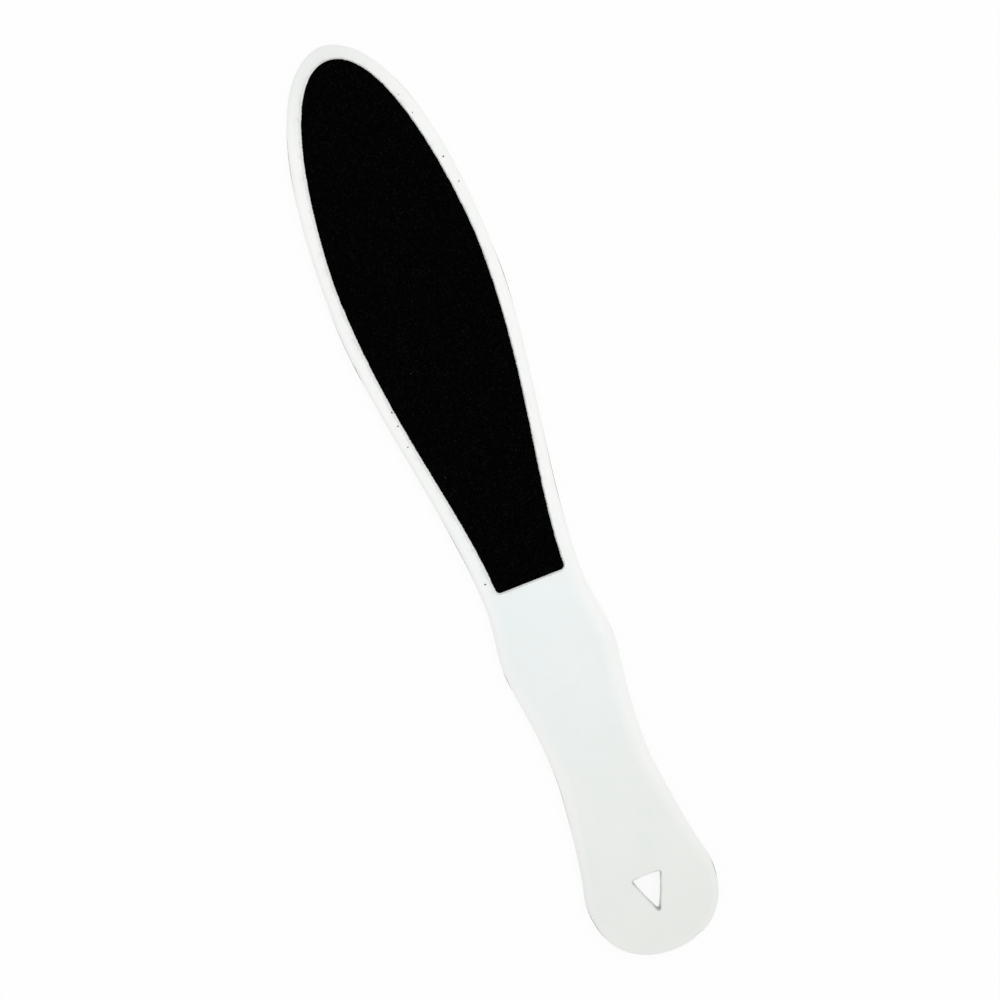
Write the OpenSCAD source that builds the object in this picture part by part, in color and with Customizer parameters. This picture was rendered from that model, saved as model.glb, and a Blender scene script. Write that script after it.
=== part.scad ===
// Foot file: a moulded paddle with an abrasive sheet bonded into a pocket on each of its faces.
// It lies on its fine sheet. Z is up, Y runs from the handle to the head, and the origin lies
// on that sheet's face, under the middle of the file's length and width.

/* [Outline] */
// Length of the nose, from the tip of the head to the head's widest place
nose_length = 71; // [55:1:90]
// Width of the head at its widest place
head_width = 47.4; // [36:0.1:60]
// Length of the taper, from the head's widest place to the neck
taper_length = 85; // [70:1:110]
// Width of the neck
neck_width = 27.8; // [22:0.1:31]
// Length of the swell, from the neck to the grip's widest place
swell_length = 18; // [12:1:24]
// Width of the grip at its widest place
grip_width = 31.4; // [28:0.1:38]
// Length from the grip's widest place to the waist
waist_length = 32; // [24:1:44]
// Width of the waist
waist_width = 26; // [20:0.1:30]
// Length from the waist to the middle of the round end
end_length = 36; // [28:1:48]
// Width of the round end
end_width = 36; // [31:0.1:44]

/* [Moulding] */
// Thickness of the paddle
body_thickness = 4.6; // [3.6:0.1:7]
// Height of the upright land round the whole edge, where the mould parts
parting_land = 0.6; // [0.2:0.1:1.2]
// Reach of the rounded edge in from the outline, round the head
head_edge = 1.1; // [0.4:0.1:1.8]
// Reach of the rounded edge in from the outline, at the grip
grip_edge = 3.4; // [1:0.1:6]
// Reach of the rounded edge in from the outline, at the round end
end_edge = 1.6; // [0.4:0.1:4]
// Width of the scar where the moulding was cut from its runner
gate_width = 2.4; // [1:0.1:4]
// Depth of that scar in the round end's edge
gate_depth = 0.2; // [0.1:0.05:0.6]
// Distance of that scar from the middle line, to the right
gate_shift = 7.4; // [0:0.1:10]

/* [Hang hole] */
// Width of the hole across its flat side, which faces the head
hole_width = 8; // [6:0.1:12]
// Height of the hole, from its flat side to its point
hole_height = 9.7; // [7:0.1:13]
// Distance from the middle of the round end to the hole's flat side
hole_rise = 3.5; // [1:0.1:6]
// Radius of the hole's corners
hole_corner = 0.4; // [0.2:0.1:1.5]
// Radius of the slow curve of the hole's flat side
hole_top_radius = 28; // [12:1:80]
// Radius of the slow curve of the hole's two long sides
hole_side_radius = 60; // [16:1:120]
// Radius of the rounded lip where the hole meets each face
hole_lip = 0.5; // [0.1:0.05:0.8]

/* [Abrasive sheets] */
// Width of the rim at the tip of the head, from the outline to the wall of a pocket
tip_rim = 4.35; // [2.2:0.05:5]
// Width of the rim beside a pocket's widest place, from the head's full width
side_rim = 3.15; // [2.3:0.05:5]
// Width of the rim beside the sheets' square-cut ends
neck_rim = 3.75; // [2.2:0.05:5]
// Distance from the head's widest place to a pocket's widest place, towards the tip
pocket_lead = 7.5; // [0:0.5:20]
// Gap between a sheet and the wall of its pocket
sheet_gap = 0.35; // [0.35:0.05:1]
// How far the coarse sheet was laid to the right of the middle line
coarse_shift = 0.2; // [-0.3:0.05:0.3]
// Distance from the sheets' square-cut ends to the neck
sheet_to_neck = 2.1; // [1:0.1:12]
// Radius of the corners at a sheet's square-cut end
sheet_corner = 1.3; // [0.6:0.1:4]
// Height by which each sheet stands proud of the paddle's face
sheet_proud = 0.2; // [0.05:0.05:0.4]
// Thickness of each layer of adhesive
adhesive_thickness = 0.12; // [0.08:0.01:0.25]
// Thickness of each sheet's backing
backing_thickness = 0.38; // [0.25:0.01:0.6]
// Thickness of the coarse sheet's coat of grit
coarse_grit_thickness = 0.42; // [0.3:0.01:0.7]
// Thickness of the fine sheet's coat of grit
fine_grit_thickness = 0.28; // [0.18:0.01:0.5]

/* [Hidden] */

// Colours, as the photograph shows them
body_colour = [0.93, 0.95, 0.94];
adhesive_colour = [0.80, 0.76, 0.62];
backing_colour = [0.30, 0.27, 0.25];
grit_colour = [0.02, 0.02, 0.02];

// How firmly each curve leaves and meets its ends, as shares of the curve's own length
nose_pull_shares = [0.07, 0.92];
taper_pull_shares = [0.27, 0.28];
swell_pull_shares = [0.40, 0.28];
waist_pull_shares = [0.22, 0.50];
end_pull_shares = [0.22, 0.12];
end_round_shares = [0.62, 0.62];
pocket_nose_pull_shares = [0.29, 0.14];
pocket_taper_pull_shares = [0.42, 0.27];

// Angle at which the round end's shoulder begins, above its widest place
end_arc_angle = 18;

// How far each cut runs on past the face it opens
overrun = 0.5;

// Steps along each stretch of the outline, and round each small curve
nose_steps = 26;
taper_steps = 16;
swell_steps = 6;
waist_steps = 8;
end_steps = 8;
end_arc_steps = 3;
end_round_steps = 16;
edge_steps = 5;
corner_steps = 6;
lip_steps = 3;

// Stations along Y
total_length = nose_length + taper_length + swell_length + waist_length + end_length + end_width / 2;
tip_y = total_length / 2;
wide_y = tip_y - nose_length;
neck_y = wide_y - taper_length;
grip_y = neck_y - swell_length;
waist_y = grip_y - waist_length;
end_y = waist_y - end_length;
sheet_end_y = neck_y + sheet_to_neck;

// Levels along Z
body_low = sheet_proud;
body_high = body_low + body_thickness;
body_middle = body_low + body_thickness / 2;
coarse_stack = adhesive_thickness + backing_thickness + coarse_grit_thickness;
fine_stack = adhesive_thickness + backing_thickness + fine_grit_thickness;
coarse_floor = body_high + sheet_proud - coarse_stack;
fine_floor = fine_stack;

// A point on a cubic curve, at t from 0 to 1
function cubic(a, b, c, d, t) =
    pow(1 - t, 3) * a + 3 * t * pow(1 - t, 2) * b + 3 * t * t * (1 - t) * c + pow(t, 3) * d;

// Points of a curve that leaves one point and meets another in given directions, without its first
function curve(start, start_way, finish, finish_way, pull_shares, steps) =
    let (
        reach = start.y - finish.y,
        b = start + pull_shares[0] * reach * start_way,
        c = finish - pull_shares[1] * reach * finish_way
    )
    [for (i = [1 : steps]) cubic(start, b, c, finish, i / steps)];

// Points round an arc, without its first
function arc(middle, radius, from, to, steps) =
    [for (i = [1 : steps]) let (a = from + (to - from) * i / steps) middle + radius * [cos(a), sin(a)]];

function slow_start(t) = t * t * (3 - 2 * t);
function blend(from, to, t) = from + (to - from) * slow_start(t);

// The right half of the paddle's outline, from the tip of the head to the end of the handle
right = [1, 0];
down = [0, -1];
tip_point = [0, tip_y];
wide_point = [head_width / 2, wide_y];
neck_point = [neck_width / 2, neck_y];
grip_point = [grip_width / 2, grip_y];
waist_point = [waist_width / 2, waist_y];
end_middle = [0, end_y];
end_point = end_middle + end_width / 2 * [cos(end_arc_angle), sin(end_arc_angle)];
end_way = [sin(end_arc_angle), -cos(end_arc_angle)];
end_side = end_middle + end_width / 2 * right;
end_bottom = end_middle + end_width / 2 * down;
half_outline = concat(
    [tip_point],
    curve(tip_point, right, wide_point, down, nose_pull_shares, nose_steps),
    curve(wide_point, down, neck_point, down, taper_pull_shares, taper_steps),
    curve(neck_point, down, grip_point, down, swell_pull_shares, swell_steps),
    curve(grip_point, down, waist_point, down, waist_pull_shares, waist_steps),
    curve(waist_point, down, end_point, end_way, end_pull_shares, end_steps),
    arc(end_middle, end_width / 2, end_arc_angle, 0, end_arc_steps),
    curve(end_side, down, end_bottom, -right, end_round_shares, end_round_steps)
);

// Reach of the rounded edge at a station: narrow round the head, wide at the grip, less at the end
function edge_reach(y) =
    y > sheet_end_y ? head_edge
    : y > grip_y ? blend(head_edge, grip_edge, (sheet_end_y - y) / (sheet_end_y - grip_y))
    : y > end_y ? blend(grip_edge, end_edge, (grip_y - y) / (grip_y - end_y))
    : end_edge;

// The outward direction at point i of a half outline
function outward(half, i) =
    let (
        last = len(half) - 1,
        way = i == 0 ? right : i < last ? half[i + 1] - half[i - 1] : half[i].x > 0 ? down : -right
    )
    [-way.y, way.x] / norm(way);

// A half outline moved inwards, by its own amount at each point
function inset(half, amounts) = [for (i = [0 : len(half) - 1]) half[i] - amounts[i] * outward(half, i)];

// The right side of a pocket's wall, from its tip to the neck's station
pocket_tip = [0, tip_y - tip_rim];
pocket_wide = [head_width / 2 - side_rim, wide_y + pocket_lead];
pocket_neck = [neck_width / 2 - neck_rim, neck_y];
pocket_side = concat(
    [pocket_tip],
    curve(pocket_tip, right, pocket_wide, down, pocket_nose_pull_shares, nose_steps),
    curve(pocket_wide, down, pocket_neck, down, pocket_taper_pull_shares, taper_steps)
);

// The half outline of a pocket, or of a sheet with a gap round it, cut off square
function pocket_half(gap) =
    let (
        side = inset(pocket_side, [for (p = pocket_side) gap]),
        corner = sheet_corner + sheet_gap - gap,
        cut_y = sheet_end_y - sheet_gap + gap,
        arc_y = cut_y + corner,
        arc_x = lookup(-arc_y, [for (p = side) [-p.y, p.x]]) - corner
    )
    concat(
        [for (p = side) if (p.y > arc_y) p],
        [[arc_x + corner, arc_y]],
        arc([arc_x, arc_y], corner, 0, -90, corner_steps),
        [[0, cut_y]]
    );

// A half outline and its mirror image, as one closed outline
function whole(half) =
    concat(half, [for (i = [len(half) - 1 : -1 : 0]) if (half[i].x > 0) [-half[i].x, half[i].y]]);

// The right half of the hang hole, grown by an amount. Its sides and corners are arcs that meet smoothly
function hole_half(grow) =
    let (
        base = [hole_width / 2 - hole_corner, end_y + hole_rise - hole_corner],
        point = [0, end_y + hole_rise - hole_height + hole_corner],
        side = point - base,
        inward = [side.y, -side.x] / norm(side),
        top_swing = hole_top_radius - hole_corner,
        side_swing = hole_side_radius - hole_corner,
        top_middle = [0, base.y - sqrt(pow(top_swing, 2) - pow(base.x, 2))],
        side_middle = (base + point) / 2 + inward * sqrt(pow(side_swing, 2) - pow(norm(side) / 2, 2)),
        top_end = atan2(base.y - top_middle.y, base.x),
        side_start = atan2(base.y - side_middle.y, base.x - side_middle.x),
        side_end = atan2(point.y - side_middle.y, point.x - side_middle.x)
    )
    concat(
        [top_middle + (hole_top_radius + grow) * [0, 1]],
        arc(top_middle, hole_top_radius + grow, 90, top_end, corner_steps / 2),
        arc(base, hole_corner + grow, top_end, side_start, corner_steps),
        arc(side_middle, hole_side_radius + grow, side_start, side_end, corner_steps),
        arc(point, hole_corner + grow, side_end, -90, corner_steps)
    );

// A closed solid through rings of points. Each ring is a half outline, its mirror image and a height
module mirrored_loft(halves, heights) {
    last = len(halves[0]) - 1;
    count = 2 * last;
    top = (len(halves) - 1) * count;
    points = [
        for (k = [0 : len(halves) - 1])
            each concat(
                [for (p = halves[k]) [p.x, p.y, heights[k]]],
                [for (i = [last - 1 : -1 : 1]) [-halves[k][i].x, halves[k][i].y, heights[k]]]
            )
    ];
    cap = concat(
        [for (i = [0 : last - 2]) [i, i + 1, count - i - 1]],
        [for (i = [1 : last - 1]) [i, count - i - 1, count - i]]
    );
    walls = [
        for (k = [0 : len(halves) - 2], i = [0 : count - 1])
            let (
                a = k * count + i,
                b = k * count + (i + 1) % count
            )
            each [[a, b, b + count], [a, b + count, a + count]]
    ];
    polyhedron(
        points,
        concat(
            [for (f = cap) [f[2], f[1], f[0]]],
            walls,
            [for (f = cap) [f[0] + top, f[1] + top, f[2] + top]]
        )
    );
}

// The solid paddle before its cuts, with its edge rolled over from the parting land to each face
module blank() {
    land = parting_land / 2;
    rise = body_thickness / 2 - land;
    angles = concat(
        [for (i = [edge_steps : -1 : 0]) [-1, 90 * i / edge_steps]],
        [for (i = [0 : edge_steps]) [1, 90 * i / edge_steps]]
    );
    mirrored_loft(
        [for (a = angles) inset(half_outline, [for (p = half_outline) edge_reach(p.y) * (1 - cos(a[1]))])],
        [for (a = angles) body_middle + a[0] * (land + rise * sin(a[1]))]
    );
}

// What is cut away for the hang hole, with a rounded lip at each face
module hole_cut() {
    lip = [for (i = [0 : lip_steps]) 90 * i / lip_steps];
    grows = concat([hole_lip], [for (a = lip) hole_lip * (1 - sin(a))]);
    depths = concat([-overrun], [for (a = lip) hole_lip * (1 - cos(a))]);
    order = [len(grows) - 1 : -1 : 0];
    mirrored_loft(
        concat([for (g = grows) hole_half(g)], [for (i = order) hole_half(grows[i])]),
        concat([for (d = depths) body_low + d], [for (i = order) body_high - depths[i]])
    );
}

// What is cut away for a pocket, from its low level to its high one
module pocket_cut(low, high) {
    translate([0, 0, low])
        linear_extrude(high - low)
            polygon(whole(pocket_half(0)));
}

// What is cut away for the scar on the round end's edge, from one side of the scar to the other
module gate_cut() {
    low_edge = [for (p = half_outline) if (p.y < end_y) p];
    ends = [for (side = [-1, 1]) let (x = gate_shift + side * gate_width / 2) [x, lookup(x, low_edge)]];
    way = ends[1] - ends[0];
    translate([ends[0].x, ends[0].y, body_low - overrun])
        rotate(atan2(way.y, way.x))
            translate([0, -overrun, 0])
                cube([norm(way), overrun + gate_depth, body_thickness + 2 * overrun]);
}

// One layer of a sheet
module layer(low, thickness, shift) {
    translate([shift, 0, low])
        linear_extrude(thickness)
            polygon(whole(pocket_half(sheet_gap)));
}

module paddle_body() {
    color(body_colour)
        difference() {
            blank();
            pocket_cut(coarse_floor, body_high + overrun);
            pocket_cut(body_low - overrun, fine_floor);
            hole_cut();
            gate_cut();
        }
}

module coarse_adhesive() {
    color(adhesive_colour) layer(coarse_floor, adhesive_thickness, coarse_shift);
}

module coarse_backing() {
    color(backing_colour) layer(coarse_floor + adhesive_thickness, backing_thickness, coarse_shift);
}

module coarse_grit() {
    color(grit_colour)
        layer(coarse_floor + adhesive_thickness + backing_thickness, coarse_grit_thickness, coarse_shift);
}

module fine_adhesive() {
    color(adhesive_colour) layer(fine_floor - adhesive_thickness, adhesive_thickness, 0);
}

module fine_backing() {
    color(backing_colour) layer(fine_grit_thickness, backing_thickness, 0);
}

module fine_grit() {
    color(grit_colour) layer(0, fine_grit_thickness, 0);
}

paddle_body();
coarse_adhesive();
coarse_backing();
coarse_grit();
fine_adhesive();
fine_backing();
fine_grit();
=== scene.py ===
"""A foot file lying flat: a white moulded paddle with a black abrasive sheet bonded into each face.

Lengths are in millimetres until a mesh is made, which turns them into metres. The floor, the lamp and the
camera's clip range are in metres.
"""

import math

import bmesh
import bpy
import numpy as np
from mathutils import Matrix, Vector, geometry, kdtree, noise


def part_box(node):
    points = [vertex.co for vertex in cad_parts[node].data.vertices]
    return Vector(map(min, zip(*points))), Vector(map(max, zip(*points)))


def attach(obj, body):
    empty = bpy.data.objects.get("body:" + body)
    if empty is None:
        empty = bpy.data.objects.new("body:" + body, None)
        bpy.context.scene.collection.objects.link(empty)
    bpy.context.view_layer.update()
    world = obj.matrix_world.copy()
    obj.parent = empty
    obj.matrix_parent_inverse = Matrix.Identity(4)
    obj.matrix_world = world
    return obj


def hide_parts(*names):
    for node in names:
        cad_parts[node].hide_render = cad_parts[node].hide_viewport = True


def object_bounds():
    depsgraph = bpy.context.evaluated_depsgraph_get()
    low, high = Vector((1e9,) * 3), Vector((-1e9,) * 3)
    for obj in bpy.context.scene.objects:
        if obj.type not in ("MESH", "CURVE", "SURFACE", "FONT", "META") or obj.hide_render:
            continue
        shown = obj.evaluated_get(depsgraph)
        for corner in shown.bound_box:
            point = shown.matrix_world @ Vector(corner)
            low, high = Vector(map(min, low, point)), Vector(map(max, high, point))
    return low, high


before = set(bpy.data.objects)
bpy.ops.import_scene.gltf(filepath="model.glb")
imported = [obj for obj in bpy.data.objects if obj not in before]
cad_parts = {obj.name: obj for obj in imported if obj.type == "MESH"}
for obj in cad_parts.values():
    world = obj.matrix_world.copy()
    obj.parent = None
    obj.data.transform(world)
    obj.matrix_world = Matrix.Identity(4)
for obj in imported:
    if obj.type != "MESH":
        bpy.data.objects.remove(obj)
cad_low, cad_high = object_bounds()

MM = 0.001
UP = Vector((0, 0, 1))
RIGHT = np.array([1.0, 0.0])
DOWN = np.array([0.0, -1.0])


def frame_box(node):
    """The lowest and highest corner of a node of the frame, in millimetres."""
    low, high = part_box(node)
    return low / MM, high / MM


# Camera. It looks straight down, turned so that the head points up and to the left
PICTURE_TURN = math.radians(21.45)
PICTURE_WIDTH = 268.35
CAMERA_DISTANCE = 460
PICTURE_MIDDLE = (0.41, -0.70)
SENSOR_WIDTH = 36
CLIP_NEAR = 0.01
CLIP_FAR = 20

body_low, body_high = frame_box("paddle_body")
body_middle = (body_low.z + body_high.z) / 2
camera_data = bpy.data.cameras.new("camera")
camera_data.type = "PERSP"
camera_data.sensor_width = SENSOR_WIDTH
camera_data.lens = SENSOR_WIDTH * CAMERA_DISTANCE / PICTURE_WIDTH
camera_data.clip_start = CLIP_NEAR
camera_data.clip_end = CLIP_FAR
camera = bpy.data.objects.new("camera", camera_data)
camera.location = Vector((*PICTURE_MIDDLE, body_middle + CAMERA_DISTANCE)) * MM
camera.rotation_euler = (0, 0, -PICTURE_TURN)
bpy.context.scene.collection.objects.link(camera)
bpy.context.scene.camera = camera


# Small sums, with the number of points that a curve is drawn with before it is resampled
CURVE_POINTS = 400


def slow_start(t):
    t = np.clip(t, 0, 1)
    return t * t * (3 - 2 * t)


def blend(start, finish, t):
    return start + (finish - start) * slow_start(t)


def waver(values, seed, size):
    """Smooth chance from -1 to 1 along a list of lengths, with bumps about as long as size."""
    return np.array([noise.noise(Vector((v / size, seed, 0))) for v in values])


def closed_normals(loop):
    """The outward direction at each point of a closed loop that runs clockwise seen from above."""
    way = np.roll(loop, -1, 0) - np.roll(loop, 1, 0)
    way /= np.linalg.norm(way, axis=1)[:, None]
    return np.stack([-way[:, 1], way[:, 0]], 1)


def outward(half):
    """The outward direction at each point of a half outline, which starts on the middle line."""
    way = np.gradient(half, axis=0)
    way[0] = (1, 0)
    if half[-1, 0] == 0:
        way[-1] = (-1, 0)
    way /= np.linalg.norm(way, axis=1)[:, None]
    return np.stack([-way[:, 1], way[:, 0]], 1)


def whole(half):
    """A half outline and its mirror image, as one closed loop."""
    return np.vstack([half, half[-2:0:-1] * (-1, 1)])


def resample(points, spacing):
    """Points at even steps along a line. spacing is a length, or gives one for each place."""
    steps = np.linalg.norm(np.diff(points, axis=0), axis=1)
    middles = (points[1:] + points[:-1]) / 2
    weight = steps / (spacing(middles) if callable(spacing) else spacing)
    travel = np.concatenate([[0], np.cumsum(weight)])
    at = np.linspace(0, travel[-1], max(3, round(travel[-1]) + 1))
    return np.stack([np.interp(at, travel, points[:, k]) for k in (0, 1)], 1)


def arc(middle, radius, start, finish, count):
    """Points round an arc, from one angle in degrees to another."""
    angles = np.radians(np.linspace(start, finish, count))
    return np.array(middle) + radius * np.stack([np.cos(angles), np.sin(angles)], 1)


def curve(start, start_way, finish, finish_way, pulls):
    """A curve that leaves one point and meets another in given directions."""
    reach = start[1] - finish[1]
    b = start + pulls[0] * reach * start_way
    c = finish - pulls[1] * reach * finish_way
    t = np.linspace(0, 1, CURVE_POINTS)[:, None]
    return (1 - t) ** 3 * start + 3 * t * (1 - t) ** 2 * b + 3 * t * t * (1 - t) * c + t ** 3 * finish


# The outline, by the same rules as the frame's
NOSE_LENGTH = 71
TAPER_LENGTH = 85
SWELL_LENGTH = 18
WAIST_LENGTH = 32
END_LENGTH = 36
NECK_WIDTH = 27.8
GRIP_WIDTH = 31.4
WAIST_WIDTH = 26
END_ARC_ANGLE = 18
NOSE_PULL_SHARES = (0.07, 0.92)
TAPER_PULL_SHARES = (0.27, 0.28)
SWELL_PULL_SHARES = (0.40, 0.28)
WAIST_PULL_SHARES = (0.22, 0.50)
END_PULL_SHARES = (0.22, 0.12)
END_ROUND_SHARES = (0.62, 0.62)
OUTLINE_STEP = 0.6

tip_y = body_high.y
head_width = body_high.x - body_low.x
wide_y = tip_y - NOSE_LENGTH
neck_y = wide_y - TAPER_LENGTH
grip_y = neck_y - SWELL_LENGTH
waist_y = grip_y - WAIST_LENGTH
end_y = waist_y - END_LENGTH
end_radius = end_y - body_low.y

# Gate scar on the round end's edge
GATE_WIDTH = 2.4
GATE_DEPTH = 0.2
GATE_SHIFT = 7.4
GATE_STEP = 0.12
GATE_SURROUND = 2


def outline_spacing(places):
    """Steps along the outline, which are finer near the gate scar."""
    near = (np.abs(places[:, 0] - GATE_SHIFT) < GATE_SURROUND) & (places[:, 1] < end_y)
    return np.where(near, GATE_STEP, OUTLINE_STEP)


def half_outline():
    """The right half of the paddle's outline, from the tip of the head to the end of the handle."""
    stations = [
        np.array(p)
        for p in (
            (0, tip_y),
            (head_width / 2, wide_y),
            (NECK_WIDTH / 2, neck_y),
            (GRIP_WIDTH / 2, grip_y),
            (WAIST_WIDTH / 2, waist_y),
        )
    ]
    shoulder = arc((0, end_y), end_radius, END_ARC_ANGLE, 0, count=100)
    slope = math.radians(END_ARC_ANGLE)
    shoulder_way = np.array([math.sin(slope), -math.cos(slope)])
    bottom = np.array([0, body_low.y])
    pieces = [
        curve(stations[0], RIGHT, stations[1], DOWN, NOSE_PULL_SHARES),
        curve(stations[1], DOWN, stations[2], DOWN, TAPER_PULL_SHARES)[1:],
        curve(stations[2], DOWN, stations[3], DOWN, SWELL_PULL_SHARES)[1:],
        curve(stations[3], DOWN, stations[4], DOWN, WAIST_PULL_SHARES)[1:],
        curve(stations[4], DOWN, shoulder[0], shoulder_way, END_PULL_SHARES)[1:],
        shoulder[1:],
        curve(shoulder[-1], DOWN, bottom, -RIGHT, END_ROUND_SHARES)[1:],
    ]
    half = resample(np.vstack(pieces), outline_spacing)
    half[[0, -1], 0] = 0
    return half


paddle_half = half_outline()

# Sheets and their pockets
TIP_RIM = 4.35
SIDE_RIM = 3.15
NECK_RIM = 3.75
POCKET_LEAD = 7.5
POCKET_NOSE_PULL_SHARES = (0.29, 0.14)
POCKET_TAPER_PULL_SHARES = (0.42, 0.27)
SHEET_GAP = 0.35
SHEET_CORNER = 1.3

sheet_end_y = frame_box("coarse_grit")[0].y
coarse_floor = frame_box("coarse_adhesive")[0].z
fine_floor = frame_box("fine_adhesive")[1].z


def pocket_side():
    """The right side of a pocket's wall, from its tip to the neck's station."""
    tip = np.array([0, tip_y - TIP_RIM])
    wide = np.array([head_width / 2 - SIDE_RIM, wide_y + POCKET_LEAD])
    neck = np.array([NECK_WIDTH / 2 - NECK_RIM, neck_y])
    nose = curve(tip, RIGHT, wide, DOWN, POCKET_NOSE_PULL_SHARES)
    return np.vstack([nose, curve(wide, DOWN, neck, DOWN, POCKET_TAPER_PULL_SHARES)[1:]])


def pocket_half(gap, spacing):
    """The half outline of a pocket, or of what lies in it with a gap all round."""
    wall = pocket_side()
    side = wall - gap * outward(wall)
    corner = SHEET_CORNER + SHEET_GAP - gap
    cut_y = sheet_end_y - SHEET_GAP + gap
    arc_y = cut_y + corner
    arc_x = np.interp(-arc_y, -side[:, 1], side[:, 0]) - corner
    round_corner = arc((arc_x, arc_y), corner, 0, -90, count=40)
    found = resample(np.vstack([side[side[:, 1] > arc_y], round_corner, [[0, cut_y]]]), spacing)
    found[[0, -1], 0] = 0
    return found


# Hang hole
HOLE_WIDTH = 8
HOLE_HEIGHT = 9.7
HOLE_RISE = 3.5
HOLE_CORNER = 0.4
HOLE_TOP_RADIUS = 28
HOLE_SIDE_RADIUS = 60
HOLE_LIP = 0.5
# Painted shade on the hang hole's wall: its share at the corners, and how far from them it reaches
HOLE_PAINTED_SHADE = 0.45
HOLE_PAINTED_SHADE_REACH = 2.4
HOLE_STEP = 0.22


def hole_half(grow):
    """The right half of the hang hole, grown by an amount. Its sides and corners are arcs."""
    base = np.array([HOLE_WIDTH / 2 - HOLE_CORNER, end_y + HOLE_RISE - HOLE_CORNER])
    point = np.array([0, end_y + HOLE_RISE - HOLE_HEIGHT + HOLE_CORNER])
    side = point - base
    side_length = np.linalg.norm(side)
    inward = np.array([side[1], -side[0]]) / side_length
    top_swing = HOLE_TOP_RADIUS - HOLE_CORNER
    side_swing = HOLE_SIDE_RADIUS - HOLE_CORNER
    top_middle = np.array([0, base[1] - math.sqrt(top_swing ** 2 - base[0] ** 2)])
    side_middle = (base + point) / 2 + inward * math.sqrt(side_swing ** 2 - side_length ** 2 / 4)

    def angle_of(p, middle):
        return math.degrees(math.atan2(p[1] - middle[1], p[0] - middle[0]))

    top_end = angle_of(base, top_middle)
    side_start = angle_of(base, side_middle)
    side_end = angle_of(point, side_middle)
    pieces = [
        arc(top_middle, HOLE_TOP_RADIUS + grow, 90, top_end, count=60),
        arc(base, HOLE_CORNER + grow, top_end, side_start, count=30)[1:],
        arc(side_middle, HOLE_SIDE_RADIUS + grow, side_start, side_end, count=90)[1:],
        arc(point, HOLE_CORNER + grow, side_end, -90, count=30)[1:],
    ]
    found = resample(np.vstack(pieces), HOLE_STEP)
    found[[0, -1], 0] = 0
    return found


# Meshes: points tested at a time, how clear a grid's points stay of a loop as a share of its spacing,
# and the angle between two faces above which their edge is sharp
BATCH = 2000
CLEAR_SHARE = 0.7
SHARP_ANGLE = 40

# What the triangulation is asked for: triangles inside the loops, with points this near taken as one
TRIANGLES_INSIDE = 1
SAME_POINT = 1e-7


def inside(points, loop):
    """Which points lie inside a closed loop."""
    a = loop
    b = np.roll(loop, -1, 0)
    found = np.zeros(len(points), bool)
    for start in range(0, len(points), BATCH):
        p = points[start:start + BATCH, None]
        crosses = (a[:, 1] > p[..., 1]) != (b[:, 1] > p[..., 1])
        rise = np.where(b[:, 1] == a[:, 1], 1, b[:, 1] - a[:, 1])
        at = a[:, 0] + (p[..., 1] - a[:, 1]) / rise * (b[:, 0] - a[:, 0])
        found[start:start + BATCH] = (crosses & (p[..., 0] < at)).sum(1) % 2 == 1
    return found


def even_points(loops, spacing):
    """Points of an even triangular grid, inside the first loop, outside the others, clear of them all."""
    low = loops[0].min(0)
    high = loops[0].max(0)
    rows = np.arange(low[1], high[1], spacing * math.sqrt(3) / 2)
    grid = [
        (x, y)
        for k, y in enumerate(rows)
        for x in np.arange(low[0] + spacing / 2 * (k % 2), high[0], spacing)
    ]
    grid = np.array(grid)
    keep = inside(grid, loops[0])
    for loop in loops[1:]:
        keep &= ~inside(grid, loop)
    grid = grid[keep]
    tree = point_tree(np.vstack(loops))
    clear = CLEAR_SHARE * spacing
    return np.array([p for p in grid if tree.find((*p, 0))[2] > clear]).reshape(-1, 2)


def point_tree(points):
    tree = kdtree.KDTree(len(points))
    for k, p in enumerate(points):
        tree.insert((p[0], p[1], 0), k)
    tree.balance()
    return tree


def add_object(name, mesh, material):
    """Puts a mesh in the scene as an object of one material."""
    mesh.materials.append(material)
    made = bpy.data.objects.new(name, mesh)
    bpy.context.scene.collection.objects.link(made)
    return made


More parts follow.
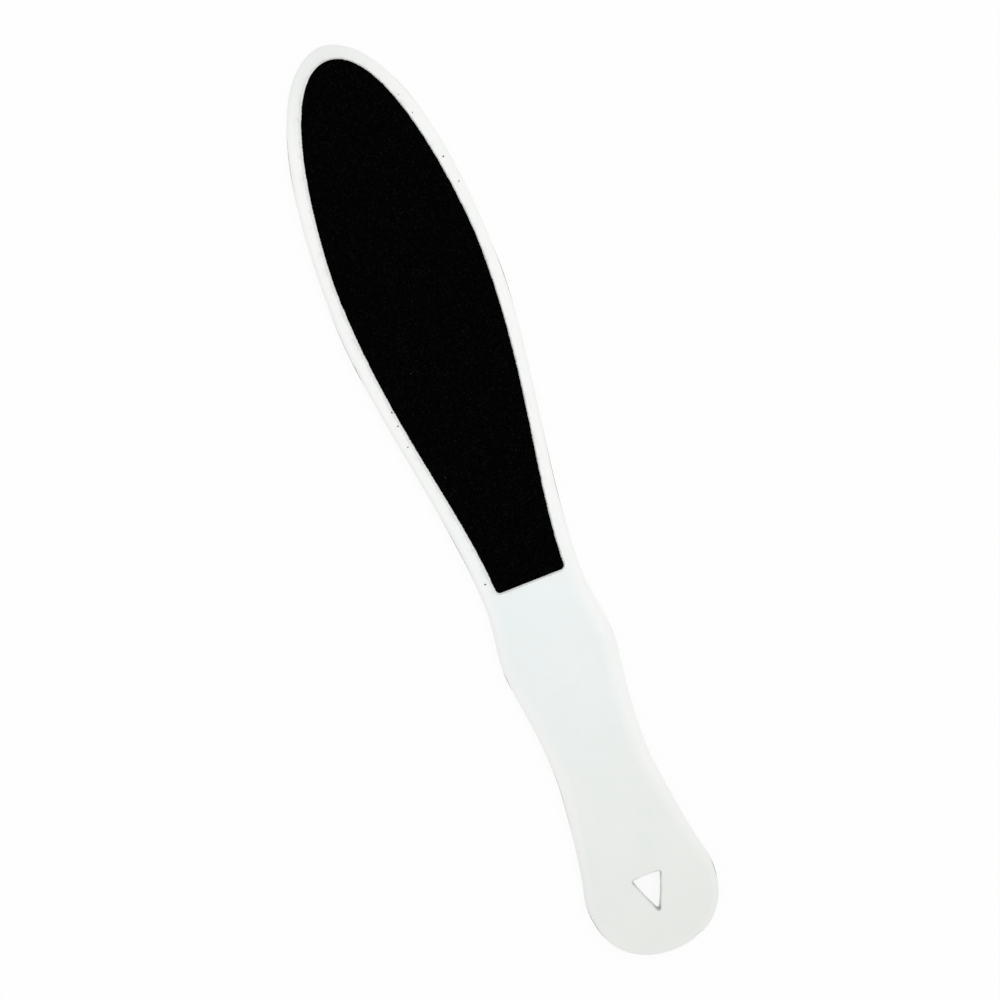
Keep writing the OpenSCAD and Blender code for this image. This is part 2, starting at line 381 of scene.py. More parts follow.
class Shape:
    """A mesh in the making: its points in millimetres and its faces."""

    def __init__(self):
        self.points = []
        self.faces = []

    def ring(self, loop, z):
        """Adds a loop at a height, or at one for each point, and returns its numbers."""
        first = len(self.points)
        heights = np.broadcast_to(z, len(loop))
        self.points += [(p[0], p[1], h) for p, h in zip(loop, heights)]
        return list(range(first, len(self.points)))

    def skin(self, rings):
        """Joins rings with a wall of quads."""
        for a, b in zip(rings, rings[1:]):
            count = len(a)
            self.faces += [(a[i], a[(i + 1) % count], b[(i + 1) % count], b[i]) for i in range(count)]

    def fill(self, rings, spacing):
        """Fills the flat face inside the first ring, and outside the others, with even triangles."""
        loops = [np.array([self.points[i][:2] for i in r]) for r in rings]
        numbers = [i for r in rings for i in r]
        edges = []
        for r in loops:
            first = len(edges)
            edges += [(first + k, first + (k + 1) % len(r)) for k in range(len(r))]
        extra = even_points(loops, spacing)
        numbers += self.ring(extra, self.points[rings[0][0]][2])
        flat = np.vstack([*loops, extra])
        found, _, faces, origins, _, _ = geometry.delaunay_2d_cdt(
            [Vector(p) for p in flat], edges, [], TRIANGLES_INSIDE, SAME_POINT
        )
        middles = np.array([np.mean([found[i] for i in f], axis=0) for f in faces])
        keep = inside(middles, loops[0])
        for loop in loops[1:]:
            keep &= ~inside(middles, loop)
        self.faces += [tuple(numbers[origins[i][0]] for i in f) for f, k in zip(faces, keep) if k]

    def made(self, name, material, smooth=True):
        """The finished object, with its faces turned outwards, and smooth between sharp edges or flat."""
        mesh = bpy.data.meshes.new(name)
        mesh.from_pydata([Vector(p) * MM for p in self.points], [], self.faces)
        work = bmesh.new()
        work.from_mesh(mesh)
        bmesh.ops.recalc_face_normals(work, faces=work.faces)
        work.to_mesh(mesh)
        work.free()
        if smooth:
            mesh.polygons.foreach_set("use_smooth", [True] * len(mesh.polygons))
            mesh.set_sharp_from_angle(angle=math.radians(SHARP_ANGLE))
        return add_object(name, mesh, material)


# Materials

def new_material(name, **settings):
    """A material, its node tree and its shader, with the shader's plain settings."""
    material = bpy.data.materials.new(name)
    material.use_nodes = True
    tree = material.node_tree
    shader = tree.nodes["Principled BSDF"]
    for socket, value in settings.items():
        shader.inputs[socket.replace("_", " ")].default_value = value
    return material, tree, shader


def add(tree, kind, inputs=(), **settings):
    """A new node. inputs maps a socket's name or number to a value or to another node's output."""
    made = tree.nodes.new(kind)
    for key, value in settings.items():
        setattr(made, key, value)
    for socket, value in dict(inputs).items():
        if isinstance(value, bpy.types.NodeSocket):
            tree.links.new(value, made.inputs[socket])
        else:
            made.inputs[socket].default_value = value
    return made


def speckle(tree, place, scale, detail=2.0, roughness=0.5):
    """Smooth chance in space, about 1 / scale metres from bump to bump."""
    return add(
        tree, "ShaderNodeTexNoise",
        {"Vector": place, "Scale": scale, "Detail": detail, "Roughness": roughness},
    ).outputs["Fac"]


def ramp(tree, share, *stops):
    """A colour ramp through stops, each a place and a colour."""
    made = add(tree, "ShaderNodeValToRGB", {"Fac": share})
    elements = made.color_ramp.elements
    while len(elements) < len(stops):
        elements.new(1)
    for element, (at, colour) in zip(elements, stops):
        element.position = at
        element.color = (*colour, 1)
    return made.outputs["Color"]


def span(tree, value, low, high, to_low=0.0, to_high=1.0):
    """A value mapped from one range to another, and held at its ends."""
    inputs = {"Value": value, "From Min": low, "From Max": high, "To Min": to_low, "To Max": to_high}
    return add(tree, "ShaderNodeMapRange", inputs).outputs["Result"]


def mixed(tree, share, a, b, blend_type="MIX"):
    """Two colours mixed, the second over the first by a share."""
    made = add(tree, "ShaderNodeMix", data_type="RGBA", blend_type=blend_type)
    for socket, value in ((made.inputs["Factor"], share), (made.inputs[6], a), (made.inputs[7], b)):
        if isinstance(value, bpy.types.NodeSocket):
            tree.links.new(value, socket)
        else:
            socket.default_value = value
    return made.outputs[2]


def product(tree, a, b):
    return add(tree, "ShaderNodeMath", {0: a, 1: b}, operation="MULTIPLY").outputs[0]


def object_place(tree):
    return add(tree, "ShaderNodeTexCoord").outputs["Object"]


def trait(tree, name):
    """A number that the mesh holds for each of its points."""
    return add(tree, "ShaderNodeAttribute", attribute_name=name).outputs["Fac"]


def bumped(tree, shader, height, strength, depth):
    """Gives a shader's surface a fine relief, depth millimetres deep."""
    relief = add(tree, "ShaderNodeBump", {"Height": height, "Strength": strength, "Distance": depth * MM})
    tree.links.new(relief.outputs["Normal"], shader.inputs["Normal"])


# The plastic's tones along the paddle, from the end of the handle to the tip, and those that lie over them
# Greyer towards both ends, partly the plastic's tone and partly painted shade where the light falls off
PLASTIC_TONES_AND_SHADE = (
    (0.00, (0.808, 0.820, 0.785)),
    (0.20, (0.836, 0.860, 0.840)),
    (0.38, (0.846, 0.894, 0.892)),
    (0.50, (0.905, 0.926, 0.918)),
    (0.90, (0.915, 0.928, 0.918)),
    (1.00, (0.812, 0.828, 0.812)),
)
# Painted highlight along the edges
PAINTED_HIGHLIGHT_TONE = (0.945, 0.943, 0.925, 1)
# Grit dust with painted shade beside the pockets
DUST_AND_SHADE_TONE = (0.46, 0.45, 0.40, 1)
# Grime with painted shade on the parting fin, and painted shade in the hang hole
GRIME_AND_SHADE_TONE = (0.24, 0.24, 0.23, 1)
# Darker grey at the gate scar
SCAR_TONE = (0.74, 0.73, 0.69, 1)

# The painted highlight along the edge: how far in it keeps its strength and how far in it has faded out,
# its strength at the end of the handle and from the waist on, and how it weakens over a reach before the
# tip
LIGHT_EDGE_CORE = 0.5
LIGHT_EDGE_FADE_AT_END = 2.4
LIGHT_EDGE_FADE_LEFT = 3.6
LIGHT_EDGE_FADE_RIGHT = 5.4
LIGHT_EDGE_SHARE_AT_END = 0.35
LIGHT_EDGE_SHARE = 0.85
LIGHT_EDGE_SHARE_AT_TIP = 0.3
TIP_SHADE = 21

# The grit's dust with painted shade on the rim: how far it reaches from the pocket, and its share beside
# the pocket
DUST_AND_SHADE_REACH = 1.5
DUST_AND_SHADE_SHARE = 0.30


def painted_highlight_share(tree, across, along):
    """How far the painted edge highlight covers the plastic. It is wider on the right, and weaker at both
    ends.
    """
    waist_side = WAIST_WIDTH / 2 * MM
    from_end = (along, end_y * MM, waist_y * MM)
    widest = span(tree, across, -waist_side, waist_side, LIGHT_EDGE_FADE_LEFT, LIGHT_EDGE_FADE_RIGHT)
    reach = span(tree, *from_end, LIGHT_EDGE_FADE_AT_END, widest)
    strength = span(tree, *from_end, LIGHT_EDGE_SHARE_AT_END, LIGHT_EDGE_SHARE)
    before_tip = span(tree, along, (tip_y - TIP_SHADE) * MM, tip_y * MM, 1, LIGHT_EDGE_SHARE_AT_TIP)
    near = span(tree, trait(tree, "edge_distance"), LIGHT_EDGE_CORE, reach, strength, 0)
    return product(tree, near, before_tip)


def dust_and_shade_share(tree, place):
    """How far the dust and painted shade cover the rim, in patches that thin out away from the pocket."""
    near = span(tree, trait(tree, "pocket_distance"), 0, DUST_AND_SHADE_REACH, DUST_AND_SHADE_SHARE, 0)
    patches = speckle(tree, place, scale=420, detail=3, roughness=0.6)
    return product(tree, near, span(tree, patches, low=0.48, high=0.68))


def white_plastic():
    """Cool white satin plastic, greyer at its two ends partly as painted shade, with a painted highlight
    along its edges, and dusty by the grit with painted shade beside the pockets.
    """
    material, tree, shader = new_material("white_plastic", IOR=1.49)
    place = object_place(tree)
    across, along, _ = add(tree, "ShaderNodeSeparateXYZ", {0: place}).outputs
    # Tones along the paddle, greyer at both ends partly as painted shade
    tone = ramp(tree, span(tree, along, body_low.y * MM, body_high.y * MM), *PLASTIC_TONES_AND_SHADE)
    # Painted highlight along the edges, wider on the right
    tone = mixed(tree, painted_highlight_share(tree, across, along), tone, PAINTED_HIGHLIGHT_TONE)
    # Grit dust with painted shade beside the pockets
    tone = mixed(tree, dust_and_shade_share(tree, place), tone, DUST_AND_SHADE_TONE)
    cloud = ramp(
        tree, speckle(tree, place, scale=70, detail=3),
        (0.35, (0.975, 0.985, 0.985)),
        (0.65, (1.0, 1.0, 1.0)),
    )
    tone = mixed(tree, 1.0, tone, cloud, "MULTIPLY")
    mottle = ramp(
        tree, speckle(tree, place, scale=230),
        (0.35, (0.984, 0.992, 0.994)),
        (0.65, (1.0, 0.992, 0.986)),
    )
    tone = mixed(tree, 1.0, tone, mottle, "MULTIPLY")
    # Grime with painted shade along the parting fin, and painted shade in the hang hole
    tone = mixed(tree, trait(tree, "grime_and_shade"), tone, GRIME_AND_SHADE_TONE)
    # Darker grey at the gate scar
    tone = mixed(tree, trait(tree, "scar"), tone, SCAR_TONE)
    tree.links.new(tone, shader.inputs["Base Color"])
    satin = speckle(tree, place, scale=900)
    sheen = span(tree, satin, low=0.3, high=0.7, to_low=0.34, to_high=0.46)
    tree.links.new(sheen, shader.inputs["Roughness"])
    bumped(tree, shader, speckle(tree, place, scale=5200, detail=3), strength=0.25, depth=0.012)
    return material


def grit(name, grain_size):
    """Black abrasive grain in dark resin, with a dull glint on some grains."""
    material, tree, shader = new_material(name, IOR=1.5, Specular_IOR_Level=0.006)
    place = object_place(tree)
    grains = add(tree, "ShaderNodeTexVoronoi", {"Vector": place, "Scale": 1 / (grain_size * MM)})
    chance = add(tree, "ShaderNodeSeparateXYZ", {0: grains.outputs["Color"]})
    dark = ramp(
        tree, chance.outputs["X"],
        (0.0, (0.0003, 0.0003, 0.0004)),
        (0.85, (0.0009, 0.0009, 0.0010)),
        (1.0, (0.0055, 0.0054, 0.0058)),
    )
    tree.links.new(dark, shader.inputs["Base Color"])
    sheen = span(tree, chance.outputs["Y"], low=0, high=1, to_low=0.42, to_high=0.85)
    tree.links.new(sheen, shader.inputs["Roughness"])
    bumped(tree, shader, grains.outputs["Distance"], strength=0.6, depth=grain_size / 3)
    return material


def dusty_grain():
    """Grey grain, a little paler than the grit that it lies on."""
    material, tree, shader = new_material("dusty_grain", Roughness=0.8, Specular_IOR_Level=0.02)
    cloud = speckle(tree, object_place(tree), scale=3000, detail=3)
    tone = ramp(tree, cloud, (0.3, (0.028, 0.028, 0.028)), (0.7, (0.044, 0.044, 0.043)))
    tree.links.new(tone, shader.inputs["Base Color"])
    return material


def backing_paper():
    """Dark resin-soaked paper, seen at a sheet's cut edge."""
    material, tree, shader = new_material("sheet_backing", Roughness=0.8)
    fibres = speckle(tree, object_place(tree), scale=4000, detail=4, roughness=0.7)
    tone = ramp(tree, fibres, (0.3, (0.010, 0.009, 0.008)), (0.7, (0.045, 0.038, 0.032)))
    tree.links.new(tone, shader.inputs["Base Color"])
    bumped(tree, shader, fibres, strength=0.5, depth=0.03)
    return material


def adhesive_film():
    """Cloudy pale adhesive, seen as a thin pale line round a sheet."""
    material, tree, shader = new_material("adhesive_film", Roughness=0.3, IOR=1.47)
    cloud = speckle(tree, object_place(tree), scale=1500, detail=3)
    tone = ramp(tree, cloud, (0.3, (0.80, 0.81, 0.78)), (0.7, (0.88, 0.89, 0.865)))
    tree.links.new(tone, shader.inputs["Base Color"])
    bumped(tree, shader, cloud, strength=0.3, depth=0.02)
    return material


# Paddle: its rolled edge, and the upright land where the mould parts
HEAD_EDGE = 1.1
GRIP_EDGE = 3.4
END_EDGE = 1.6
PARTING_LAND = 0.6
ROLL_STEPS = 12

# Small rounds at the pockets, the flat strip beside each round that keeps its shading crisp, and the steps
# of the meshes
POCKET_LIP = 0.15
FLOOR_FILLET = 0.15
LIP_STEPS = 4
SUPPORT = 0.3
FACE_SPACING = 1.2
FLOOR_SPACING = 2.4
POCKET_STEP = 0.6
MOUTH_STEP = 0.15

# The torn face of the gate scar: its depth, its bumps, and how its darker tone fades over shares of its
# width
SCAR_ROUGHNESS = 0.07
SCAR_BUMP = 0.35
SCAR_BUMPS_PER_MM = 3
SCAR_DARKENING = 0.8
SCAR_CORE_SHARE = 0.4
SCAR_FADE_SHARE = 0.15

# Fin of flash on the parting line: its size, the lengths, shares and seeds of the waves and teeth of its
# ragged crest, and its grime with painted shade
FLASH = 0.03
FLASH_GROWTH = 0.24
FLASH_HALF_WIDTH = 0.05
FLASH_FOOT_SHARE = 1.2
FLASH_WAVE = 9
FLASH_WAVE_SHARE = 0.55
FLASH_WAVE_SEED = 5
FLASH_TOOTH = 1.3
FLASH_TOOTH_SHARE = 0.6
FLASH_TOOTH_SEED = 7
# Grime with painted shade on the fin: its least share, and how it grows with the fin
FLASH_GRIME_AND_SHADE = 0.1
FLASH_GRIME_AND_SHADE_GROWTH = 1.6

# Stretches over which the fin has grown: side, place, half length and share
FLASH_STRETCHES = (
    (-1, 130, 6, 0.25),
    (-1, 104, 18, 0.6),
    (-1, 45.5, 6, 0.75),
    (-1, 53, 16, 0.5),
    (-1, -9, 17, 0.52),
    (-1, -46.5, 4.5, 0.6),
    (-1, -81, 16, 0.45),
    (-1, -116, 9, 0.7),
    (-1, -130, 12, 0.5),
    (1, 130, 6, 0.25),
    (1, 111, 18, 0.42),
    (1, 55, 13, 0.6),
    (1, 0, 23, 0.5),
    (1, -45, 9, 0.25),
    (1, -113.5, 4.5, 0.75),
    (1, -130, 12, 0.45),
)


def flash_share(outline):
    """How far the fin has grown at each point of the outline, from 0 to 1."""
    found = np.zeros(len(outline))
    for side, at, half_length, share in FLASH_STRETCHES:
        near = 1 - slow_start(np.abs(outline[:, 1] - at) / half_length)
        found = np.maximum(found, share * near * (outline[:, 0] * side >= 0))
    return found


def edge_reach(y):
    """Reach of the rolled edge at a station: narrow round the head, wide at the grip, less at the end."""
    swell = blend(HEAD_EDGE, GRIP_EDGE, (sheet_end_y - y) / (sheet_end_y - grip_y))
    fall = blend(GRIP_EDGE, END_EDGE, (grip_y - y) / (grip_y - end_y))
    return np.where(y > sheet_end_y, HEAD_EDGE, np.where(y > grip_y, swell, fall))


def gate_line():
    """The two ends of the gate scar on the outline."""
    low_edge = paddle_half[paddle_half[:, 1] < end_y][::-1]
    x = GATE_SHIFT + GATE_WIDTH / 2 * np.array([-1, 1])
    return np.stack([x, np.interp(x, low_edge[:, 0], low_edge[:, 1])], 1)


def scar_depth(loop):
    """How deep the cut of the gate goes at each point of the outline, and 1 within its width, else 0."""
    start, finish = gate_line()
    way = (finish - start) / np.linalg.norm(finish - start)
    within = (np.abs(loop[:, 0] - GATE_SHIFT) < GATE_WIDTH / 2) & (loop[:, 1] < end_y)
    depth = GATE_DEPTH - (loop - start) @ np.array([-way[1], way[0]])
    return np.where(within, depth, 0), within.astype(float)


def scar_darkening(places):
    """How far each point is tinted to the gate scar's darker grey, which is most in the middle of the scar.
    """
    away = np.linalg.norm(places[:, :2] - gate_line().mean(0), axis=1)
    faded = slow_start((away / GATE_WIDTH - SCAR_CORE_SHARE) / SCAR_FADE_SHARE)
    return SCAR_DARKENING * (1 - faded)


def hole_painted_shade(loop):
    """How much painted shade the hang hole's wall has at each point of its loop, which is most at its
    corners.
    """
    side = HOLE_WIDTH / 2 - HOLE_CORNER
    top = end_y + HOLE_RISE
    corners = np.array([(-side, top), (side, top), (0, top - HOLE_HEIGHT)])
    apart = np.linalg.norm(loop[:, None] - corners, axis=2).min(1)
    return HOLE_PAINTED_SHADE * (1 - slow_start(apart / HOLE_PAINTED_SHADE_REACH))


def grime_and_shade(places, seam, grown, hole_rings):
    """How much grime and painted shade each point has: grime with painted shade along the fin of flash, and
    painted shade in the hang hole out to the edge of its lip.
    """
    found = np.zeros(len(places))
    found[seam] = np.clip(FLASH_GRIME_AND_SHADE + FLASH_GRIME_AND_SHADE_GROWTH * grown, 0, 1)
    wall = whole(hole_half(0))
    for ring in hole_rings:
        out = np.linalg.norm(places[ring][:, :2] - wall, axis=1)
        found[ring] = hole_painted_shade(wall) * (1 - slow_start(out / HOLE_LIP))
    return found


def distances(places, loop):
    """How far each point is from a loop, seen from above."""
    tree = point_tree(loop)
    return np.array([tree.find((x, y, 0))[2] for x, y, _ in places])


def pocket(shape, face, floor):
    """Adds a pocket, with a small round at its mouth and at its floor. Returns the ring round its mouth."""
    loop = whole(pocket_half(0, POCKET_STEP))
    way = closed_normals(loop)
    down = math.copysign(1, floor - face)
    rings = [shape.ring(loop + (POCKET_LIP + SUPPORT) * way, face)]
    for a in np.radians(np.linspace(90, 0, LIP_STEPS + 1)):
        drop = POCKET_LIP * (1 - math.sin(a))
        rings.append(shape.ring(loop + POCKET_LIP * math.sin(a) * way, face + down * drop))
    for a in np.radians(np.linspace(0, 90, LIP_STEPS + 1)):
        shrink = FLOOR_FILLET * (1 - math.cos(a))
        lift = FLOOR_FILLET * (1 - math.sin(a))
        rings.append(shape.ring(loop - shrink * way, floor - down * lift))
    rings.append(shape.ring(loop - (FLOOR_FILLET + SUPPORT) * way, floor))
    shape.skin(rings)
    shape.fill([rings[-1]], FLOOR_SPACING)
    return rings[0]


def hang_hole(shape):
    """Adds the hang hole's wall from face to face, with a round lip at each. Returns its rings."""
    loop = whole(hole_half(0))
    way = closed_normals(loop)
    lip = [(HOLE_LIP + SUPPORT, 0)]
    for a in np.radians(np.linspace(0, 90, LIP_STEPS + 1)):
        lip.append((HOLE_LIP * (1 - math.sin(a)), HOLE_LIP * (1 - math.cos(a))))
    rings = [shape.ring(loop + grow * way, body_high.z - down) for grow, down in lip]
    rings += [shape.ring(loop + grow * way, body_low.z + down) for grow, down in lip[::-1]]
    shape.skin(rings)
    return rings


def paddle():
    """The moulding: rolled edges, the mould's parting line, a pocket in each face and the hang hole."""
    shape = Shape()
    outline = whole(paddle_half)
    normals = closed_normals(outline)
    travel = np.concatenate([[0], np.cumsum(np.linalg.norm(np.diff(outline, axis=0), axis=1))])
    reach = edge_reach(outline[:, 1])
    depth, within = scar_depth(outline)
    land = PARTING_LAND / 2
    rise = (body_high.z - body_low.z) / 2 - land
    grown = flash_share(outline)
    fin = FLASH + FLASH_GROWTH * grown

    def outer(inset, height):
        """A ring in from the outline, at a height above the paddle's middle, torn at the gate scar."""
        z = body_middle + height
        torn = depth + within * SCAR_ROUGHNESS * waver(travel, z * SCAR_BUMPS_PER_MM, SCAR_BUMP)
        return shape.ring(outline - (inset + torn)[:, None] * normals, z)

    def roll(side):
        """The rolled edge from the land to one face, and the flat strip beside it."""
        angles = np.radians(np.linspace(0, 90, ROLL_STEPS + 1))
        rings = [outer(fin + reach * (1 - math.cos(a)), side * (land + rise * math.sin(a))) for a in angles]
        return rings + [outer(fin + reach + SUPPORT, side * (land + rise))]

    upper = roll(1)
    lower = roll(-1)
    wave = FLASH * FLASH_WAVE_SHARE * (1 + waver(travel, FLASH_WAVE_SEED, FLASH_WAVE))
    teeth = (fin - FLASH) * FLASH_TOOTH_SHARE * np.abs(waver(travel, FLASH_TOOTH_SEED, FLASH_TOOTH))
    foot = FLASH_HALF_WIDTH * FLASH_FOOT_SHARE
    seam_under, seam_over = [outer(fin, height) for height in (-foot, foot)]
    flanks_and_crest = ((fin, -FLASH_HALF_WIDTH), (wave + teeth, 0), (fin, FLASH_HALF_WIDTH))
    seam = [outer(inset, height) for inset, height in flanks_and_crest]
    shape.skin(lower[::-1] + [seam_under] + seam + [seam_over] + upper)

    hole_rings = hang_hole(shape)
    upper_mouth = pocket(shape, body_high.z, coarse_floor)
    shape.fill([upper[-1], upper_mouth, hole_rings[0]], FACE_SPACING)
    lower_mouth = pocket(shape, body_low.z, fine_floor)
    shape.fill([lower[-1], lower_mouth, hole_rings[-1]], FACE_SPACING)
    made = shape.made("paddle_moulding", white_plastic())
    places = np.array(shape.points)
    traits = {
        "edge_distance": distances(places, outline),
        "pocket_distance": distances(places, whole(pocket_half(0, MOUTH_STEP))),
        "grime_and_shade": grime_and_shade(places, seam, grown, hole_rings),
        "scar": scar_darkening(places),
    }
    for name, values in traits.items():
        made.data.attributes.new(name, "FLOAT", "POINT").data.foreach_set("value", values)
    return made


# Abrasive sheets: the steps of their rows and grains
ROW_STEP = 0.215
GRAIN_STEP = 0.25
FIRST_ROW_STEP = 0.02
CUT_STEP = 0.1

# How ragged a sheet's cut sides are: the depth on each side, the lengths of slow and quick bumps and their
# shares, and how much more the coat frays by quick ones
LEFT_RAG = 0.17
RIGHT_RAG = 0.15
SLOW_RAG = 2.4
SLOW_RAG_SHARE = 0.6
QUICK_RAG = 0.5
QUICK_RAG_SHARE = 0.5
COAT_FRAY = 1.6

# Relief of a coat: how far grains stray from even steps, the share of tall ones, how deep tall and low ones
# sink, and the share of the relief that is left in the fine rows at a sheet's ends
STRAY_SHARE = 0.35
TALL_SHARE = 0.45
TALL_SINK_SHARES = (0, 0.4)
LOW_SINK_SHARES = (0.5, 1)
EDGE_RELIEF_SHARE = 0.35

# Bead of adhesive: how far below the face it meets the wall, how far it sags, how far it reaches under the
# sheet's edge, and the places across it where its top is drawn
BEAD_DROP = 0.10
BEAD_SAG = 0.10
BEAD_OVERLAP = 0.2
BEAD_TOP_SHARES = (0, 0.3, 0.6, 1)


class Sheet:
    """One bonded sheet: its cut outline as rows across it, each with a left and a right end."""

    def __init__(self, grit_node, seed):
        low, high = frame_box(grit_node)
        self.shift = (low.x + high.x) / 2
        self.seed = seed
        cut = pocket_half(SHEET_GAP, CUT_STEP)
        length = cut[0, 1] - cut[-1, 1]
        ends = FIRST_ROW_STEP * np.arange(1, int(ROW_STEP / FIRST_ROW_STEP) + 1)
        even_length = length - 2 * ends.sum()
        count = round(even_length / ROW_STEP)
        steps = np.concatenate([ends, np.full(count, even_length / count), ends[::-1]])
        self.y = cut[0, 1] - np.cumsum(steps)[:-1]
        self.fineness = np.minimum(steps[:-1], steps[1:]) / ROW_STEP
        self.width = np.interp(-self.y, -cut[:, 1], cut[:, 0])

    def ends(self, layer, fray=1.0):
        """The rows' left and right ends, as ragged as a stamped sheet's edge."""
        found = []
        for side, rag in ((-1, LEFT_RAG), (1, RIGHT_RAG)):
            slow = SLOW_RAG_SHARE * waver(self.y, self.seed + side, SLOW_RAG)
            quick = QUICK_RAG_SHARE * waver(self.y, self.seed + side + layer, QUICK_RAG)
            rough = rag * (slow + fray * quick) * self.fineness
            found.append(self.shift + side * (self.width - rag / 2 + rough))
        return found

    def plate(self, name, node, layer, material):
        """A thin flat layer."""
        low, high = frame_box(node)
        left, right = self.ends(layer)
        shape = Shape()
        loop = np.vstack([np.stack([right, self.y], 1), np.stack([left, self.y], 1)[::-1]])
        count = len(self.y)
        rings = [shape.ring(loop, z) for z in (low.z, high.z)]
        shape.skin(rings)
        for r in rings:
            shape.faces += [(r[i], r[i + 1], r[-i - 2], r[-i - 1]) for i in range(count - 1)]
        return shape.made(name, material)

    def coat(self, name, node, layer, relief, material):
        """The coat of grain: a rough face of small facets over a flat underside."""
        low, high = frame_box(node)
        faces_up = high.z > body_high.z
        face, under = (high.z, low.z) if faces_up else (low.z, high.z)
        down = math.copysign(1, under - face)
        left, right = self.ends(layer, COAT_FRAY)
        chance = np.random.default_rng(self.seed)
        shape = Shape()
        rows = []
        for y, x0, x1, fine in zip(self.y, left, right, self.fineness):
            count = max(2, round((x1 - x0) / GRAIN_STEP) + 1)
            x = np.linspace(x0, x1, count)
            stray = chance.uniform(-STRAY_SHARE, STRAY_SHARE, (2, count - 2))
            x[1:-1] += stray[0] * GRAIN_STEP
            row_y = np.full(count, y)
            row_y[1:-1] += stray[1] * ROW_STEP * fine
            tall = chance.random(count) < TALL_SHARE
            tall_sink = chance.uniform(*TALL_SINK_SHARES, count)
            low_sink = chance.uniform(*LOW_SINK_SHARES, count)
            sink = np.where(tall, tall_sink, low_sink)
            sink[[0, -1]] = chance.uniform(*LOW_SINK_SHARES, 2)
            depth = relief * (EDGE_RELIEF_SHARE + (1 - EDGE_RELIEF_SHARE) * fine) * sink
            rows.append(shape.ring(np.stack([x, row_y], 1), face + down * depth))
        for a, b in zip(rows, rows[1:]):
            zip_rows(shape, a, b)
        edge = [r[-1] for r in rows] + rows[-1][-2:0:-1] + [r[0] for r in rows[::-1]] + rows[0][1:-1]
        flat = np.array([shape.points[i][:2] for i in edge])
        base = shape.ring(flat, under)
        shape.skin([edge, base])
        close_under(shape, base, len(rows), len(rows[-1]) - 2)
        return shape.made(name, material, smooth=False)


def zip_rows(shape, a, b):
    """Joins two rows of points with triangles, always taking the nearer next point."""
    i = j = 0
    while i < len(a) - 1 or j < len(b) - 1:
        next_a = shape.points[a[i + 1]][0] if i < len(a) - 1 else math.inf
        next_b = shape.points[b[j + 1]][0] if j < len(b) - 1 else math.inf
        if next_a < next_b:
            shape.faces.append((a[i], b[j], a[i + 1]))
            i += 1
        else:
            shape.faces.append((a[i], b[j], b[j + 1]))
            j += 1


def close_under(shape, base, row_count, last_inner):
    """Closes a coat's flat underside with strips from its right ends to its left ends."""
    right = base[:row_count]
    left = base[row_count + last_inner:2 * row_count + last_inner][::-1]
    last = base[row_count:row_count + last_inner]
    first = base[2 * row_count + last_inner:]
    for i in range(row_count - 1):
        ahead = first if i == 0 else []
        behind = last if i == row_count - 2 else []
        shape.faces.append((right[i], right[i + 1], *behind, left[i + 1], left[i], *ahead))


def glue_bead(name, sheet, face, floor, material):
    """Adhesive squeezed up round a sheet: a bead with a hollow top, from the pocket's wall to the sheet."""
    loop = whole(pocket_half(0, POCKET_STEP))
    way = closed_normals(loop)
    width = (SHEET_GAP + BEAD_OVERLAP - sheet.shift * way[:, 0])[:, None]
    down = math.copysign(1, floor - face)
    shape = Shape()
    wall_foot = shape.ring(loop, floor)
    tops = []
    for t in BEAD_TOP_SHARES:
        drop = BEAD_DROP + BEAD_SAG * t * (2 - t)
        tops.append(shape.ring(loop - t * width * way, face + down * drop))
    inner_foot = shape.ring(loop - width * way, floor)
    shape.skin([wall_foot, *tops, inner_foot, wall_foot])
    return shape.made(name, material)


# Number of a loose grain's corners, its proportions, and the height above the face that it is dropped from
GRAIN_CORNERS = 9
GRAIN_SHARES = (1, 0.75, 0.4)
DROP_HEIGHT = 10

# Loose grains on the rim, and two dusty crumbs caught on the grit: place, and size across
LOOSE_GRAINS = (
    (19.9, 90.2, 0.60),
    (21.5, 82.6, 0.70),
    (16.5, 104.2, 0.44),
    (14.8, 110.0, 0.36),
    (-18.0, 31.6, 0.62),
    (-17.8, 27.6, 0.54),
    (-17.3, 21.4, 0.50),
    (-11.5, -20.3, 0.60),
)
GREY_CRUMBS = (
    (-10.9, 10.1, 0.60),
    (-9.4, 39.4, 0.50),
)


def crumbs(name, places, grounds, material, seed):
    """Small angular grains, each seated on the highest of the pieces under it."""
    chance = np.random.default_rng(seed)
    work = bmesh.new()
    for x, y, size in places:
        above = Vector((x, y, body_high.z + DROP_HEIGHT)) * MM
        hits = [ground.ray_cast(above, -UP) for ground in grounds]
        spot = max((place for found, place, _, _ in hits if found), key=lambda p: p.z)
        corners = chance.normal(size=(GRAIN_CORNERS, 3))
        corners /= np.linalg.norm(corners, axis=1)[:, None]
        corners *= size / 2 * np.array(GRAIN_SHARES)
        headroom = (cad_high.z - spot.z) / MM
        lift = min(-corners[:, 2].min(), headroom - corners[:, 2].max())
        verts = [work.verts.new(spot + (Vector(c) + UP * lift) * MM) for c in corners]
        hull = bmesh.ops.convex_hull(work, input=verts)
        bmesh.ops.delete(work, geom=hull["geom_interior"], context="VERTS")
    bmesh.ops.recalc_face_normals(work, faces=work.faces)
    mesh = bpy.data.meshes.new(name)
    work.to_mesh(mesh)
    work.free()
    return add_object(name, mesh, material)


def finish_piece(piece, slot, *nodes):
    """Seats a piece on the one body and hides the frame's nodes that it stands for. slot is not used."""
    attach(piece, "root")
    if nodes:
        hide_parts(*nodes)


